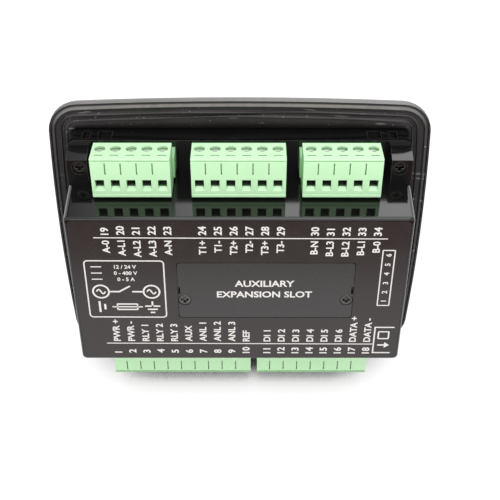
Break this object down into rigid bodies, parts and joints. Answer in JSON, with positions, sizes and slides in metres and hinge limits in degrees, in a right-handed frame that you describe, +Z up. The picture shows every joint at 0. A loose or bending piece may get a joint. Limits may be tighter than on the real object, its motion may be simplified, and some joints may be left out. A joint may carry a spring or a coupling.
{
  "type": "generator set controller",
  "caption": "Panel-mounted generator set controller: bowed bezel with display and keys, ribbed gasket, drafted rear box with ledges and pull-out green terminal plugs.",
  "frame": {"origin": "centre of the panel cut-out, on the front surface of the panel sheet where the gasket seats", "axes": "+Z up, +Y through the panel to the rear label and terminals, +X to the right for someone facing the display"},
  "size_m": [0.1336, 0.046, 0.1076],
  "materials": {
    "bezel_plastic": "fine moulded texture, black",
    "overlay_film": "satin printed polyester film",
    "window_clear": "clear hard-coated window",
    "display_glass": "grey-green display cell",
    "backlight_white": "white light block",
    "holder_white": "plain moulded",
    "switch_black": "plain moulded",
    "pipe_clear": "clear moulded",
    "led_white": "moulded lens",
    "gasket_rubber": "dull moulded rubber, dusty on the ribs",
    "board_green": "solder mask on glass-epoxy board",
    "housing_plastic": "polished mould, black",
    "label_film": "satin printed film, brown-black",
    "cover_plastic": "satin, brown-black",
    "screw_black": "blackened steel",
    "tinned_pin": "tin plated",
    "port_steel": "nickel plated sheet",
    "port_insulator": "plain moulded",
    "relay_blue": "plain moulded",
    "capacitor_sleeve": "shrunk sleeve",
    "core_casing": "plain moulded",
    "key_cap": "satin moulded",
    "stop_key_cap": "satin moulded",
    "header_green": "plain moulded, pale green",
    "plug_green": "plain moulded, pale green",
    "clamp_screw": "zinc plated",
    "clamp_brass": "plain pressed"
  },
  "bodies": {
    "controller": {"front_bezel": "bezel_plastic", "front_overlay": "overlay_film", "display_window": "window_clear", "display_glass": "display_glass", "display_backlight": "backlight_white", "display_holder": "holder_white", "tact_switches": "switch_black", "light_pipes": "pipe_clear", "status_leds": "led_white", "panel_gasket": "gasket_rubber", "main_board": "board_green", "rear_housing": "housing_plastic", "rear_label": "label_film", "module_cover": "cover_plastic", "cover_screws": "screw_black", "module_socket": "switch_black", "housing_screws": "screw_black", "header_pins": "tinned_pin", "data_port_shell": "port_steel", "data_port_tongue": "port_insulator", "relays": "relay_blue", "capacitors": "capacitor_sleeve", "processor": "switch_black", "current_transformers": "core_casing", "generator_header": "header_green", "current_header": "header_green", "mains_header": "header_green", "power_header": "header_green", "input_header": "header_green"},
    "left_key": {"left_key": "key_cap"},
    "down_key": {"down_key": "key_cap"},
    "right_key": {"right_key": "key_cap"},
    "up_key": {"up_key": "key_cap"},
    "run_key": {"run_key": "key_cap"},
    "test_key": {"test_key": "key_cap"},
    "auto_key": {"auto_key": "key_cap"},
    "stop_key": {"stop_key": "stop_key_cap"},
    "generator_plug": {"generator_plug": "plug_green", "generator_plug_screws": "clamp_screw", "generator_plug_clamps": "clamp_brass"},
    "current_plug": {"current_plug": "plug_green", "current_plug_screws": "clamp_screw", "current_plug_clamps": "clamp_brass"},
    "mains_plug": {"mains_plug": "plug_green", "mains_plug_screws": "clamp_screw", "mains_plug_clamps": "clamp_brass"},
    "power_plug": {"power_plug": "plug_green", "power_plug_screws": "clamp_screw", "power_plug_clamps": "clamp_brass"},
    "input_plug": {"input_plug": "plug_green", "input_plug_screws": "clamp_screw", "input_plug_clamps": "clamp_brass"}
  },
  "joints": [
    {"name": "left_key_press", "type": "slide", "parent": "controller", "child": "left_key", "axis": [0, 1, 0], "range_m": [0, 0.0006], "stiffness_N_per_m": 800, "springref_m": -0.001},
    {"name": "down_key_press", "type": "slide", "parent": "controller", "child": "down_key", "axis": [0, 1, 0], "range_m": [0, 0.0006], "stiffness_N_per_m": 800, "springref_m": -0.001},
    {"name": "right_key_press", "type": "slide", "parent": "controller", "child": "right_key", "axis": [0, 1, 0], "range_m": [0, 0.0006], "stiffness_N_per_m": 800, "springref_m": -0.001},
    {"name": "up_key_press", "type": "slide", "parent": "controller", "child": "up_key", "axis": [0, 1, 0], "range_m": [0, 0.0006], "stiffness_N_per_m": 800, "springref_m": -0.001},
    {"name": "run_key_press", "type": "slide", "parent": "controller", "child": "run_key", "axis": [0, 1, 0], "range_m": [0, 0.0006], "stiffness_N_per_m": 800, "springref_m": -0.001},
    {"name": "test_key_press", "type": "slide", "parent": "controller", "child": "test_key", "axis": [0, 1, 0], "range_m": [0, 0.0006], "stiffness_N_per_m": 800, "springref_m": -0.001},
    {"name": "auto_key_press", "type": "slide", "parent": "controller", "child": "auto_key", "axis": [0, 1, 0], "range_m": [0, 0.0006], "stiffness_N_per_m": 800, "springref_m": -0.001},
    {"name": "stop_key_press", "type": "slide", "parent": "controller", "child": "stop_key", "axis": [0, 1, 0], "range_m": [0, 0.0006], "stiffness_N_per_m": 800, "springref_m": -0.001},
    {"name": "generator_plug_pull", "type": "slide", "parent": "controller", "child": "generator_plug", "axis": [0, 1, 0], "range_m": [0, 0.014]},
    {"name": "current_plug_pull", "type": "slide", "parent": "controller", "child": "current_plug", "axis": [0, 1, 0], "range_m": [0, 0.014]},
    {"name": "mains_plug_pull", "type": "slide", "parent": "controller", "child": "mains_plug", "axis": [0, 1, 0], "range_m": [0, 0.014]},
    {"name": "power_plug_pull", "type": "slide", "parent": "controller", "child": "power_plug", "axis": [0, 1, 0], "range_m": [0, 0.014]},
    {"name": "input_plug_pull", "type": "slide", "parent": "controller", "child": "input_plug", "axis": [0, 1, 0], "range_m": [0, 0.014]}
  ]
}
